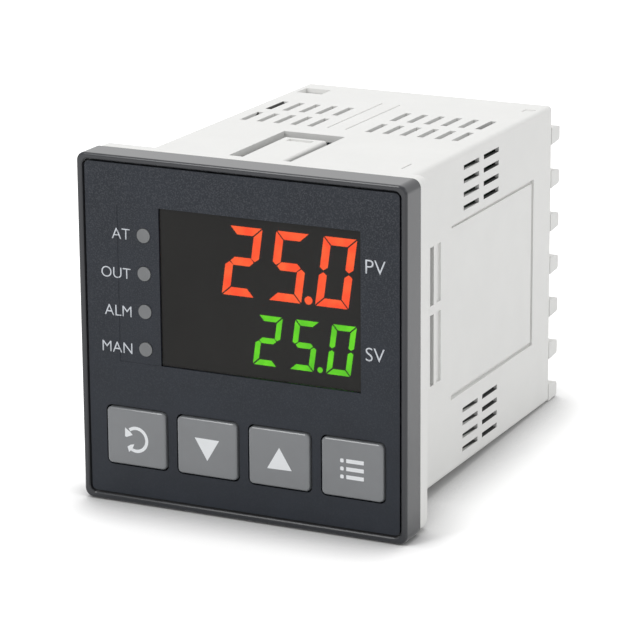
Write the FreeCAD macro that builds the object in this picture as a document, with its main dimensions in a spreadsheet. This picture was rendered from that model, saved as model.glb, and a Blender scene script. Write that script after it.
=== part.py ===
import FreeCAD, Part
import math
import os
import re

import Sketcher

# Panel-mounted temperature controller with a 72 x 72 mm front.
# Frame: +X to the right seen from the front, +Y from the front towards the terminals, +Z up.
# Origin: centre of the flange's rear face, the plane that lies on the switch-cabinet panel.

DOC = FreeCAD.newDocument("controller")
SHEET = DOC.addObject("Spreadsheet::Sheet", "Dims")

DIMENSIONS = [
    # bezel
    ("bezel_size", 72.0), ("bezel_depth", 6.5), ("bezel_corner", 1.8), ("bezel_edge", 0.5),
    ("bezel_wall", 1.8), ("bezel_frame", 3.8), ("rim_width", 1.2), ("rim_step", 0.35),
    ("rim_bevel", 0.2), ("lip_thickness", 0.9), ("core_depth", 3.4),
    # front panel, its recess and the window
    ("panel_thickness", 1.2), ("panel_groove", 0.45), ("panel_corner", 1.0),
    ("recess_depth", 0.06), ("recess_left", 27.2), ("recess_right", 26.1), ("recess_top", 26.1),
    ("recess_bottom", 6.3), ("window_left", 17.9), ("window_thickness", 1.4),
    ("window_drop", 0.39), ("window_gap", 0.1), ("window_lip", 0.9),
    # status lenses and their lamps
    ("lens_x", 21.3), ("lens_top", 20.2), ("lens_pitch", 7.8), ("lens_count", 4),
    ("lens_diameter", 2.9), ("lens_gap", 0.08), ("lens_collar", 0.6), ("lens_collar_depth", 0.6),
    ("lens_proud", 0.15), ("lamp_gap", 0.3), ("lamp_width", 1.6), ("lamp_height", 0.8),
    # keys and their switches
    ("key_width", 13.4), ("key_height", 11.9), ("key_corner", 1.0), ("key_edge", 0.45),
    ("key_pitch", 16.0), ("key_count", 4), ("key_row_x", 0.4), ("key_row_z", 21.95),
    ("key_gap", 0.35), ("key_proud", 0.55), ("key_rest_gap", 0.05), ("key_flange", 0.7),
    ("key_flange_thickness", 0.8), ("key_stem", 4.4), ("switch_size", 6.2),
    ("switch_height", 3.3), ("plunger_diameter", 3.4), ("plunger_gap", 0.06),
    ("plunger_length", 2.2), ("plunger_insert", 1.0), ("plunger_room", 0.7),
    # numeric displays
    ("pv_height", 14.1), ("pv_width", 7.1), ("pv_pitch", 10.2), ("pv_last_x", 19.95),
    ("pv_centre_z", 16.75), ("pv_stroke", 1.62), ("sv_height", 10.2), ("sv_width", 5.2),
    ("sv_pitch", 8.0), ("sv_last_x", 21.0), ("sv_centre_z", 1.25), ("sv_stroke", 1.1),
    ("digit_slant", 8.0), ("segment_gap", 0.22), ("segment_thickness", 0.15),
    ("display_digits", 4), ("display_margin", 1.4), ("display_window_gap", 0.2),
    # rear case
    ("flange_step", 0.2), ("flange_thickness", 4.0), ("flange_corner", 2.0), ("flange_edge", 0.3),
    ("side_seat", 6.3), ("top_seat", 2.2), ("case_length", 80.2), ("case_corner", 1.4),
    ("case_edge", 0.6), ("case_wall", 1.5), ("case_draft", 0.4), ("board_pocket", 2.5),
    ("board_pocket_gap", 0.3), ("pocket_corner", 0.4),
    # ventilation slots through the top and bottom walls
    ("top_vent_width", 1.4), ("top_vent_length", 8.5), ("top_vent_pitch", 3.9),
    ("top_vent_row_pitch", 12.0), ("top_vent_y", 49.9), ("left_vent_x", 24.6),
    ("left_vent_count", 5), ("right_vent_x", 4.4), ("right_vent_count", 6),
    # ventilation slots through both side walls
    ("side_vent_height", 1.0), ("side_vent_length", 8.0), ("side_vent_pitch", 2.8),
    ("side_vent_y", 41.3), ("side_vent_column_pitch", 10.4), ("side_vent_z", 25.6),
    ("side_vent_count", 4), ("vent_web", 0.9), ("vent_margin", 1.2),
    # snap tongue in the top wall
    ("latch_x", 4.75), ("latch_width", 13.9), ("latch_front", 2.5), ("latch_rear", 33.4),
    ("tongue_side_gap", 2.2), ("tongue_end_gap", 4.2), ("tongue_drop", 0.3),
    ("tongue_edge", 0.6), ("finger_width", 5.6), ("finger_length", 1.8), ("finger_depth", 0.7),
    ("finger_inset", 1.6),
    # shallow marks in the walls
    ("channel_x", 2.9), ("channel_width", 4.15), ("channel_front", 40.0),
    ("channel_rear", 67.0), ("channel_line", 0.35), ("channel_depth", 0.25), ("nick_x", 24.7),
    ("nick_y", 14.3),
    ("nick_length", 4.6), ("nick_width", 0.35), ("nick_depth", 0.4), ("dimple_x", 26.5),
    ("dimple_y", 73.0), ("dimple_size", 2.6), ("dimple_depth", 0.2),
    ("label_front", 26.0), ("label_rear", 70.0), ("label_z", 0.8), ("label_height", 36.6),
    ("label_depth", 0.3), ("label_groove", 0.8), ("label_groove_depth", 0.9),
    ("slit_y", 16.2), ("slit_width", 1.8), ("strip_y", 19.6), ("strip_width", 2.1),
    ("strip_depth", 0.5), ("slit_upper_z", 11.05), ("slit_upper_length", 12.1),
    ("slit_lower_z", 4.3), ("slit_lower_length", 14.8),
    # upright boards and their guides
    ("guide_width", 1.2), ("guide_height", 2.6), ("guide_gap", 0.1), ("guide_root", 0.6),
    ("guide_rear", 69.5),
    ("board_lap", 0.8), ("board_thickness", 1.6), ("side_board_front", 3.5),
    ("side_board_rear", 73.5), ("side_board_wall_gap", 0.3), ("side_board_edge_gap", 0.4),
    ("header_width", 2.5), ("header_height", 25.4),
    # terminal base
    ("bay_count", 6), ("comb_margin", 4.8), ("tooth_root", 3.8), ("tooth_tip", 3.0),
    ("tooth_length", 4.5), ("tooth_round", 0.6), ("comb_depth", 12.6), ("comb_spine", 1.4), ("spine_height", 3.0),
    ("base_thickness", 3.4), ("base_recess", 1.2), ("base_gap", 0.15), ("boss_diameter", 5.6),
    ("boss_depth", 3.6), ("hook_x", 24.0), ("hook_width", 5.6), ("hook_rear", 5.4),
    ("hook_length", 4.6), ("hook_gap", 0.2), ("hook_drop", 1.0), ("hook_arm", 1.2),
    ("hook_arm_width", 3.8),
    # terminal screws, clamps and tabs
    ("screw_inset", 8.2), ("screw_head", 5.2), ("screw_head_height", 2.0), ("screw_shank", 2.9),
    ("screw_length", 6.4), ("screw_slot", 0.8), ("screw_slot_depth", 0.9), ("screw_gap", 0.1),
    ("clamp_size", 5.4), ("clamp_thickness", 0.8), ("tab_width", 7.4), ("tab_height", 5.4),
    ("tab_thickness", 0.8), ("tab_tail", 3.0), ("tab_overlap", 5.0), ("tab_gap", 0.1),
    # parts on the boards
    ("core_width", 19.0), ("core_length", 22.0), ("core_height", 16.0), ("core_leg", 5.0),
    ("core_yoke", 3.6), ("coil_gap", 0.15), ("transformer_y", 22.0), ("transformer_z", 7.0),
    ("foot_height", 1.5), ("relay_length", 19.0), ("relay_width", 13.0), ("relay_height", 15.0),
    ("relay_y", 49.0), ("relay_z", 14.0), ("mains_diameter", 10.0), ("mains_height", 16.0),
    ("mains_y", 20.0), ("mains_z", 17.0), ("small_diameter", 6.3), ("small_height", 11.0),
    ("small_y", 36.0), ("small_z", 24.0), ("small_pitch", 8.0), ("small_count", 2),
    ("chip_size", 10.0), ("chip_thickness", 1.6), ("chip_y", 20.0), ("chip_z", 4.0),
    ("amplifier_length", 9.0), ("amplifier_width", 6.0), ("amplifier_thickness", 2.2),
    ("amplifier_y", 42.0), ("amplifier_z", 14.0), ("isolator_length", 6.4),
    ("isolator_width", 8.0), ("isolator_thickness", 3.4), ("isolator_y", 40.0),
    ("isolator_z", 12.0), ("isolator_pitch", 10.0), ("isolator_count", 3),
]
WORDS = re.compile(r"\b(" + "|".join(alias for alias, start in DIMENSIONS) + r")\b")


def fill_sheet():
    for row, (alias, start) in enumerate(DIMENSIONS, start=1):
        SHEET.set("A%d" % row, alias)
        SHEET.set("B%d" % row, str(start))
        SHEET.setAlias("B%d" % row, alias)
    DOC.recompute()


def link(text):
    """Expression in which each word of the sheet refers to its cell."""
    return WORDS.sub(r"Dims.\1", text)


def value(text):
    """Present value of such an expression, as a plain number."""
    result = SHEET.evalExpression(link(text))
    return float(getattr(result, "Value", result))


def bind(feature, **properties):
    """Tie properties to the sheet; a double underscore stands for a dot."""
    for name, text in properties.items():
        feature.setExpression(name.replace("__", "."), link(text))


# Planes across the depth.
BEZEL_FRONT = "(-flange_thickness - bezel_depth)"
PANEL_FRONT = "(" + BEZEL_FRONT + " + rim_step)"
PANEL_BACK = "(" + PANEL_FRONT + " + panel_thickness)"
RECESS_FLOOR = "(" + PANEL_FRONT + " + recess_depth)"
WINDOW_BACK = "(" + RECESS_FLOOR + " + window_drop + window_thickness)"
BOARD_BACK = "(-flange_thickness + board_pocket)"
BOARD_FRONT = "(" + BOARD_BACK + " - board_thickness)"
MODULE_FRONT = "(" + WINDOW_BACK + " + display_window_gap)"
LAMP_FRONT = "(" + BOARD_FRONT + " - lamp_height)"
KEY_BACK = "(" + PANEL_BACK + " + key_rest_gap + key_flange_thickness)"
SWITCH_FRONT = "(" + BOARD_FRONT + " - switch_height)"
PLUNGER_BACK = "(" + SWITCH_FRONT + " + plunger_insert)"
PLUNGER_FRONT = "(" + PLUNGER_BACK + " - plunger_length)"
BASE_BACK = "(case_length - base_recess)"
BASE_FRONT = "(" + BASE_BACK + " - base_thickness)"
TAB_BACK = "(" + BASE_BACK + " + tab_thickness)"
CLAMP_BACK = "(" + TAB_BACK + " + clamp_thickness)"
TOOTH_END = "(case_length + tooth_length)"

# Sizes across the front.
OPENING = "(bezel_size - 2 * bezel_frame)"
PANEL_SIZE = "(bezel_size - 2 * rim_width - 2 * panel_groove)"
BOARD_SIZE = "(" + OPENING + " + 2 * board_lap)"
FLANGE_SIZE = "(bezel_size - 2 * flange_step)"

# The case narrows towards the rear with the mould's draft.
CASE_WIDTH = "(" + FLANGE_SIZE + " - 2 * side_seat)"
CASE_HEIGHT = "(" + FLANGE_SIZE + " - 2 * top_seat)"
INNER_WIDTH = "(" + CASE_WIDTH + " - 2 * case_wall)"
INNER_HEIGHT = "(" + CASE_HEIGHT + " - 2 * case_wall)"
SHRINK = "(2 * tan(case_draft * 1deg) * case_length)"
REAR_WIDTH = "(" + CASE_WIDTH + " - " + SHRINK + ")"
REAR_HEIGHT = "(" + CASE_HEIGHT + " - " + SHRINK + ")"
REAR_INNER_WIDTH = "(" + REAR_WIDTH + " - 2 * case_wall)"
REAR_INNER_HEIGHT = "(" + REAR_HEIGHT + " - 2 * case_wall)"

# Upright boards and the terminal columns.
SIDE_BOARD_OUTER = "(" + REAR_INNER_WIDTH + " / 2 - side_board_wall_gap)"
SIDE_BOARD_INNER = "(" + SIDE_BOARD_OUTER + " - board_thickness)"
SIDE_BOARD_HEIGHT = "(" + REAR_INNER_HEIGHT + " - 2 * side_board_edge_gap)"
BAY_PITCH = "((" + REAR_HEIGHT + " - tooth_root - comb_margin) / bay_count)"
FIRST_TOOTH = "(-" + REAR_HEIGHT + " / 2 + tooth_root / 2)"
FIRST_BAY = "(" + FIRST_TOOTH + " + " + BAY_PITCH + " / 2)"
SCREW_X = "(" + REAR_WIDTH + " / 2 - screw_inset)"
SPINE_X = "(" + REAR_WIDTH + " / 2 - comb_depth)"
COIL_LENGTH = "(core_length - 2 * core_yoke - 2 * coil_gap)"


# ---- helpers -------------------------------------------------------------------------------

def new_body(label):
    body = DOC.addObject("PartDesign::Body", label)
    body.Label = label
    return body


def base_plane(body, role):
    return [item for item in body.Origin.OriginFeatures if item.Role == role][0]


def new_sketch(body, name, role, x="0", y="0", offset="0"):
    """Empty sketch on one of the body's own planes.

    XZ_Plane: x is X, y is Z and offset is -Y.  YZ_Plane: x is Y, y is Z and offset is X.
    XY_Plane: x is X, y is Y and offset is Z.
    """
    sketch = body.newObject("Sketcher::SketchObject", name)
    sketch.AttachmentSupport = [(base_plane(body, role), "")]
    sketch.MapMode = "FlatFace"
    bind(sketch, AttachmentOffset__Base__x=x, AttachmentOffset__Base__y=y,
         AttachmentOffset__Base__z=offset)
    return sketch


def front_sketch(body, name, at_y, x="0", z="0"):
    return new_sketch(body, name, "XZ_Plane", x, z, "-(" + at_y + ")")


def add_named(sketch, constraint, name, text):
    index = sketch.addConstraint(constraint)
    sketch.renameConstraint(index, name)
    sketch.setExpression("Constraints." + name, link(text))


def add_rectangle(sketch, width, height, x=None, y=None, tag=""):
    """Rectangle centred on the sketch's origin, or at x, y from it."""
    half_w, half_h = value(width) / 2, value(height) / 2
    mid_x = value(x) if x else 0.0
    mid_y = value(y) if y else 0.0
    corners = [(-half_w, -half_h), (-half_w, half_h), (half_w, half_h), (half_w, -half_h)]
    points = [FreeCAD.Vector(mid_x + a, mid_y + b, 0) for a, b in corners]
    lines = []
    for index in range(4):
        segment = Part.LineSegment(points[index], points[(index + 1) % 4])
        lines.append(sketch.addGeometry(segment))
    rules = []
    for index in range(4):
        rules.append(Sketcher.Constraint("Coincident", lines[index], 2, lines[(index + 1) % 4], 1))
    rules.append(Sketcher.Constraint("Vertical", lines[0]))
    rules.append(Sketcher.Constraint("Horizontal", lines[1]))
    rules.append(Sketcher.Constraint("Vertical", lines[2]))
    rules.append(Sketcher.Constraint("Horizontal", lines[3]))
    if x is None:
        rules.append(Sketcher.Constraint("Symmetric", lines[0], 1, lines[2], 1, -1, 1))
    sketch.addConstraint(rules)
    wide = Sketcher.Constraint("DistanceX", lines[0], 1, lines[2], 1, 2 * half_w)
    tall = Sketcher.Constraint("DistanceY", lines[0], 1, lines[0], 2, 2 * half_h)
    add_named(sketch, wide, "width" + tag, width)
    add_named(sketch, tall, "height" + tag, height)
    if x is not None:
        left = Sketcher.Constraint("DistanceX", -1, 1, lines[0], 1, mid_x - half_w)
        low = Sketcher.Constraint("DistanceY", -1, 1, lines[0], 1, mid_y - half_h)
        add_named(sketch, left, "left" + tag, "(" + x + ") - (" + width + ") / 2")
        add_named(sketch, low, "low" + tag, "(" + y + ") - (" + height + ") / 2")


def add_rounded(sketch, width, height, corner, tag=""):
    """Rectangle with round corners, centred on the sketch's origin."""
    half_w, half_h, radius = value(width) / 2, value(height) / 2, value(corner)
    in_w, in_h = half_w - radius, half_h - radius
    sides = [((-half_w, -in_h), (-half_w, in_h)), ((-in_w, half_h), (in_w, half_h)),
             ((half_w, in_h), (half_w, -in_h)), ((in_w, -half_h), (-in_w, -half_h))]
    turns = [(-in_w, in_h, 90), (in_w, in_h, 0), (in_w, -in_h, 270), (-in_w, -in_h, 180)]
    lines = []
    arcs = []
    for start, end in sides:
        segment = Part.LineSegment(FreeCAD.Vector(*start, 0), FreeCAD.Vector(*end, 0))
        lines.append(sketch.addGeometry(segment))
    for mid_x, mid_y, angle in turns:
        circle = Part.Circle(FreeCAD.Vector(mid_x, mid_y, 0), FreeCAD.Vector(0, 0, 1), radius)
        arc = Part.ArcOfCircle(circle, math.radians(angle), math.radians(angle + 90))
        arcs.append(sketch.addGeometry(arc))
    rules = []
    for index in range(4):
        rules.append(Sketcher.Constraint("Tangent", lines[index], 2, arcs[index], 2))
        rules.append(Sketcher.Constraint("Tangent", arcs[index], 1, lines[(index + 1) % 4], 1))
    rules.append(Sketcher.Constraint("Vertical", lines[0]))
    rules.append(Sketcher.Constraint("Horizontal", lines[1]))
    rules.append(Sketcher.Constraint("Vertical", lines[2]))
    rules.append(Sketcher.Constraint("Horizontal", lines[3]))
    for index in (1, 2, 3):
        rules.append(Sketcher.Constraint("Equal", arcs[0], arcs[index]))
    rules.append(Sketcher.Constraint("Symmetric", lines[0], 1, lines[2], 1, -1, 1))
    sketch.addConstraint(rules)
    wide = Sketcher.Constraint("DistanceX", lines[0], 1, lines[2], 1, 2 * half_w)
    tall = Sketcher.Constraint("DistanceY", lines[3], 1, lines[1], 1, 2 * half_h)
    bend = Sketcher.Constraint("Radius", arcs[0], radius)
    add_named(sketch, wide, "width" + tag, width)
    add_named(sketch, tall, "height" + tag, height)
    add_named(sketch, bend, "corner" + tag, corner)


def add_circle(sketch, diameter, x="0", y="0", tag=""):
    centre = FreeCAD.Vector(value(x), value(y), 0)
    circle = Part.Circle(centre, FreeCAD.Vector(0, 0, 1), value(diameter) / 2)
    index = sketch.addGeometry(circle)
    across = Sketcher.Constraint("DistanceX", -1, 1, index, 3, centre.x)
    up = Sketcher.Constraint("DistanceY", -1, 1, index, 3, centre.y)
    wide = Sketcher.Constraint("Diameter", index, value(diameter))
    add_named(sketch, across, "x" + tag, x)
    add_named(sketch, up, "y" + tag, y)
    add_named(sketch, wide, "diameter" + tag, diameter)


def add_polygon(sketch, points):
    """Closed outline through points worked out from the sheet."""
    count = len(points)
    lines = []
    for index in range(count):
        start = FreeCAD.Vector(*points[index], 0)
        end = FreeCAD.Vector(*points[(index + 1) % count], 0)
        lines.append(sketch.addGeometry(Part.LineSegment(start, end)))
    rules = []
    for index in range(count):
        rules.append(Sketcher.Constraint("Coincident", lines[index], 2, lines[(index + 1) % count], 1))
    for index in range(count):
        rules.append(Sketcher.Constraint("Block", lines[index]))
    sketch.addConstraint(rules)


def volume_of(body):
    return body.Shape.Volume if not body.Shape.isNull() else 0.0


def finish_feature(body, feature, grows):
    """Recompute and make sure that the feature added or removed material."""
    before = volume_of(body)
    body.Tip = feature
    DOC.recompute()
    after = volume_of(body)
    if grows and after <= before or not grows and after >= before:
        raise RuntimeError(feature.Name + " has no effect: %.3f, %.3f" % (before, after))
    return feature


def pad(body, sketch, length, rearward=False, draft=None, both=False):
    feature = body.newObject("PartDesign::Pad", sketch.Name + "_pad")
    feature.Profile = sketch
    feature.Reversed = rearward
    feature.Midplane = both
    bind(feature, Length=length)
    if draft:
        bind(feature, TaperAngle=draft)
    sketch.Visibility = False
    return finish_feature(body, feature, True)


def pocket(body, sketch, length=None, frontward=False, draft=None, both=False):
    """Cut against the sketch's normal, or along it; without a length, through all."""
    feature = body.newObject("PartDesign::Pocket", sketch.Name + "_cut")
    feature.Profile = sketch
    feature.Reversed = frontward
    feature.Midplane = both
    if length:
        bind(feature, Length=length)
    else:
        feature.Type = "ThroughAll"
    if draft:
        bind(feature, TaperAngle=draft)
    sketch.Visibility = False
    return finish_feature(body, feature, False)


def row_of(body, feature, sketch, axis, count, pitch, grows):
    """Linear pattern along the sketch's H_Axis or V_Axis."""
    pattern = body.newObject("PartDesign::LinearPattern", feature.Name + "_row")
    pattern.Originals = [feature]
    pattern.Direction = (sketch, [axis])
    bind(pattern, Length="(" + pitch + ") * (" + count + " - 1)", Occurrences=count)
    return finish_feature(body, pattern, grows)


def edge_names(shape, wanted):
    """Names of the edges for which wanted(edge) is true."""
    return ["Edge%d" % (i + 1) for i, edge in enumerate(shape.Edges) if wanted(edge)]


def lies_at(edge, axis, place):
    box = edge.BoundBox
    low = {"x": box.XMin, "y": box.YMin, "z": box.ZMin}[axis]
    high = {"x": box.XMax, "y": box.YMax, "z": box.ZMax}[axis]
    return abs(low - place) < 1e-4 and abs(high - place) < 1e-4


def reaches(edge, half_x, half_z):
    """True on the outer outline of a rectangle with round corners."""
    middle = edge.BoundBox.Center
    return abs(middle.x) > half_x or abs(middle.z) > half_z


def round_edges(body, wanted, radius, kind="PartDesign::Fillet"):
    base = body.Tip
    names = edge_names(base.Shape, wanted)
    feature = body.newObject(kind, body.Label + "_edge")
    feature.Base = (base, names)
    if kind.endswith("Fillet"):
        bind(feature, Radius=radius)
    else:
        bind(feature, Size=radius)
    return finish_feature(body, feature, False)


def put(item, label, x="0", y="0", z="0"):
    item.Label = label
    bind(item, Placement__Base__x=x, Placement__Base__y=y, Placement__Base__z=z)
    return item


def box(label, x, y, z, length, width, height):
    """Block whose centre is at x and z and whose front face is at y."""
    item = DOC.addObject("Part::Box", label)
    bind(item, Length=length, Width=width, Height=height)
    middle_x = "(" + x + ") - (" + length + ") / 2"
    middle_z = "(" + z + ") - (" + height + ") / 2"
    return put(item, label, middle_x, y, middle_z)


def group(label, members):
    item = DOC.addObject("Part::Compound", label)
    item.Links = members
    item.Label = label
    return item


# ---- front ---------------------------------------------------------------------------------

def front_bezel():
    body = new_body("front_bezel")
    sketch = front_sketch(body, "bezel_outline", "-flange_thickness")
    add_rounded(sketch, "bezel_size", "bezel_size", "bezel_corner")
    pad(body, sketch, "bezel_depth")
    front = value(BEZEL_FRONT)
    round_edges(body, lambda edge: lies_at(edge, "y", front), "bezel_edge")
    sketch = front_sketch(body, "bezel_bed", BEZEL_FRONT)
    side = "bezel_size - 2 * rim_width"
    add_rounded(sketch, side, side, "panel_corner + panel_groove")
    pocket(body, sketch, "rim_step + panel_thickness")
    inner = value(side) / 2 + 0.01
    round_edges(body, lambda edge: lies_at(edge, "y", front) and not reaches(edge, inner, inner),
                "rim_bevel", "PartDesign::Chamfer")
    sketch = front_sketch(body, "bezel_opening", BEZEL_FRONT)
    add_rounded(sketch, OPENING, OPENING, "pocket_corner")
    pocket(body, sketch)
    sketch = front_sketch(body, "bezel_core", "-flange_thickness")
    outer = "bezel_size - 2 * bezel_wall"
    lip = "(" + OPENING + " + 2 * lip_thickness)"
    add_rounded(sketch, outer, outer, "pocket_corner")
    add_rounded(sketch, lip, lip, "pocket_corner", "_lip")
    pocket(body, sketch, "core_depth", frontward=True)
    sketch = front_sketch(body, "bezel_lip", "-flange_thickness")
    add_rounded(sketch, lip, lip, "pocket_corner")
    add_rounded(sketch, OPENING, OPENING, "pocket_corner", "_in")
    pad(body, sketch, BOARD_FRONT + " + flange_thickness", rearward=True)


def front_panel():
    body = new_body("front_panel")
    sketch = front_sketch(body, "panel_outline", PANEL_BACK)
    add_rounded(sketch, PANEL_SIZE, PANEL_SIZE, "panel_corner")
    pad(body, sketch, "panel_thickness")
    middle_x = "(recess_right - recess_left) / 2"
    middle_z = "(recess_top - recess_bottom) / 2"
    sketch = front_sketch(body, "panel_recess", PANEL_FRONT, middle_x, middle_z)
    add_rectangle(sketch, "recess_right + recess_left", "recess_top + recess_bottom")
    pocket(body, sketch, "recess_depth")
    sketch = front_sketch(body, "panel_window", PANEL_FRONT,
                          "(recess_right - window_left) / 2", middle_z)
    add_rectangle(sketch, "recess_right + window_left", "recess_top + recess_bottom")
    pocket(body, sketch)
    sketch = front_sketch(body, "panel_lens_hole", PANEL_FRONT, "-lens_x",
                          "lens_top - lens_pitch * (lens_count - 1)")
    add_circle(sketch, "lens_diameter + 2 * lens_gap")
    hole = pocket(body, sketch)
    row_of(body, hole, sketch, "V_Axis", "lens_count", "lens_pitch", False)
    sketch = front_sketch(body, "panel_key_hole", PANEL_FRONT,
                          "key_row_x - key_pitch * (key_count - 1) / 2", "-key_row_z")
    add_rounded(sketch, "key_width + 2 * key_gap", "key_height + 2 * key_gap",
                "key_corner + key_gap")
    hole = pocket(body, sketch)
    row_of(body, hole, sketch, "H_Axis", "key_count", "key_pitch", False)


def display_window():
    body = new_body("display_window")
    middle_x = "(recess_right - window_left) / 2"
    middle_z = "(recess_top - recess_bottom) / 2"
    width = "(recess_right + window_left)"
    height = "(recess_top + recess_bottom)"
    sketch = front_sketch(body, "window_face", PANEL_BACK, middle_x, middle_z)
    add_rectangle(sketch, width + " - 2 * window_gap", height + " - 2 * window_gap")
    pad(body, sketch, "panel_thickness - recess_depth - window_drop")
    sketch = front_sketch(body, "window_flange", WINDOW_BACK, middle_x, middle_z)
    add_rectangle(sketch, width + " + 2 * window_lip", height + " + 2 * window_lip")
    pad(body, sketch, WINDOW_BACK + " - " + PANEL_BACK)


def status_lens(label, index):
    body = new_body(label)
    sketch = front_sketch(body, label + "_pipe", PANEL_BACK)
    add_circle(sketch, "lens_diameter")
    pad(body, sketch, "panel_thickness - recess_depth + lens_proud")
    sketch = front_sketch(body, label + "_collar", PANEL_BACK)
    add_circle(sketch, "lens_diameter + 2 * lens_collar")
    pad(body, sketch, "lens_collar_depth", rearward=True)
    sketch = front_sketch(body, label + "_guide", PANEL_BACK)
    add_circle(sketch, "lens_diameter")
    pad(body, sketch, LAMP_FRONT + " - lamp_gap - " + PANEL_BACK, rearward=True)
    put(body, label, "-lens_x", "0", "lens_top - lens_pitch * %d" % index)


def status_lamps():
    lamps = []
    for index in range(int(value("lens_count"))):
        lamps.append(box("status_lamp_%d" % (index + 1), "-lens_x", LAMP_FRONT,
                         "lens_top - lens_pitch * %d" % index,
                         "lamp_width", "lamp_height", "lamp_width"))
    group("status_lamps", lamps)


def keycap(label, index):
    body = new_body(label)
    front = PANEL_FRONT + " - key_proud"
    sketch = front_sketch(body, label + "_cap", PANEL_BACK + " + key_rest_gap")
    add_rounded(sketch, "key_width", "key_height", "key_corner")
    pad(body, sketch, "panel_thickness + key_proud + key_rest_gap")
    place = value(front)
    round_edges(body, lambda edge: lies_at(edge, "y", place), "key_edge")
    sketch = front_sketch(body, label + "_flange", PANEL_BACK + " + key_rest_gap")
    add_rounded(sketch, "key_width + 2 * key_flange", "key_height + 2 * key_flange", "key_corner")
    pad(body, sketch, "key_flange_thickness", rearward=True)
    sketch = front_sketch(body, label + "_stem", KEY_BACK)
    add_circle(sketch, "key_stem")
    pad(body, sketch, PLUNGER_FRONT + " - " + KEY_BACK, rearward=True)
    put(body, label, key_x(index), "0", "-key_row_z")


def key_x(index):
    return "key_row_x + key_pitch * (%d - (key_count - 1) / 2)" % index


def switch_body(label, index):
    body = new_body(label)
    sketch = front_sketch(body, label + "_block", BOARD_FRONT)
    add_rectangle(sketch, "switch_size", "switch_size")
    pad(body, sketch, "switch_height")
    sketch = front_sketch(body, label + "_bore", SWITCH_FRONT)
    add_circle(sketch, "plunger_diameter + 2 * plunger_gap")
    pocket(body, sketch, "plunger_insert + plunger_room")
    put(body, label, key_x(index), "0", "-key_row_z")


def switch_plunger(label, index):
    item = DOC.addObject("Part::Cylinder", label)
    bind(item, Radius="plunger_diameter / 2", Height="plunger_length")
    item.Placement.Rotation = FreeCAD.Rotation(FreeCAD.Vector(1, 0, 0), 90)
    put(item, label, key_x(index), PLUNGER_BACK, "-key_row_z")


# ---- numeric displays ----------------------------------------------------------------------

SEGMENTS = {"0": "abcdef", "2": "abged", "5": "afgcd"}


def segment_outlines(prefix):
    """Outlines of the seven segments of one upright digit, centred on the origin."""
    half_h = value(prefix + "_height") / 2
    half_w = value(prefix + "_width") / 2
    thick = value(prefix + "_stroke")
    gap = value("segment_gap")
    mid = thick / 2
    left, right = -half_w, half_w
    outlines = {
        "a": [(left + gap, half_h), (right - gap, half_h),
              (right - thick - gap, half_h - thick), (left + thick + gap, half_h - thick)],
        "b": [(right, half_h - gap), (right, mid), (right - mid, gap),
              (right - thick, mid), (right - thick, half_h - thick - gap)],
        "g": [(left + mid + gap, 0), (left + thick + gap, mid), (right - thick - gap, mid),
              (right - mid - gap, 0), (right - thick - gap, -mid), (left + thick + gap, -mid)],
    }
    outlines["d"] = [(x, -z) for x, z in outlines["a"]]
    outlines["c"] = [(x, -z) for x, z in outlines["b"]]
    outlines["f"] = [(-x, z) for x, z in outlines["b"]]
    outlines["e"] = [(-x, -z) for x, z in outlines["b"]]
    return outlines


def lit_segments(label, prefix, text, point_after):
    """Lit bars of a number such as 250 with a point, as one group of thin solids."""
    lean = math.tan(math.radians(value("digit_slant")))
    outlines = segment_outlines(prefix)
    pitch = value(prefix + "_pitch")
    last_x = value(prefix + "_last_x")
    centre_z = value(prefix + "_centre_z")
    sketch = DOC.addObject("Sketcher::SketchObject", label + "_outline")
    sketch.Placement = FreeCAD.Placement(FreeCAD.Vector(0, value(MODULE_FRONT), 0),
                                         FreeCAD.Rotation(FreeCAD.Vector(1, 0, 0), 90))
    for place, digit in enumerate(text):
        middle = last_x - pitch * (len(text) - 1 - place)
        for name in SEGMENTS[digit]:
            points = [(middle + x + z * lean, centre_z + z) for x, z in outlines[name]]
            add_polygon(sketch, points)
    foot = value(prefix + "_height") / 2
    radius = value(prefix + "_stroke") / 2
    middle = last_x - pitch * (len(text) - 1 - point_after) + pitch / 2
    centre = FreeCAD.Vector(middle - (foot - radius) * lean, centre_z - foot + radius, 0)
    sketch.addGeometry(Part.Circle(centre, FreeCAD.Vector(0, 0, 1), radius))
    sketch.Visibility = False
    item = DOC.addObject("Part::Extrusion", label)
    item.Base = sketch
    item.DirMode = "Normal"
    item.Solid = True
    bind(item, LengthFwd="segment_thickness")
    item.Label = label


def display_module(label, prefix):
    """Encapsulated block with room for four digits."""
    span = "(" + prefix + "_pitch * (display_digits - 1) + " + prefix + "_width + 2 * display_margin)"
    middle = prefix + "_last_x - " + prefix + "_pitch * (display_digits - 1) / 2"
    body = new_body(label)
    sketch = front_sketch(body, label + "_block", BOARD_FRONT, middle, prefix + "_centre_z")
    add_rectangle(sketch, span, prefix + "_height + 2 * display_margin")
    pad(body, sketch, BOARD_FRONT + " - " + MODULE_FRONT)


# ---- rear case -----------------------------------------------------------------------------

def rear_case():
    body = new_body("rear_case")
    case_shell(body)
    case_guides(body)
    case_vents(body)
    case_latch(body)
    case_marks(body)
    case_windows(body)


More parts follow.
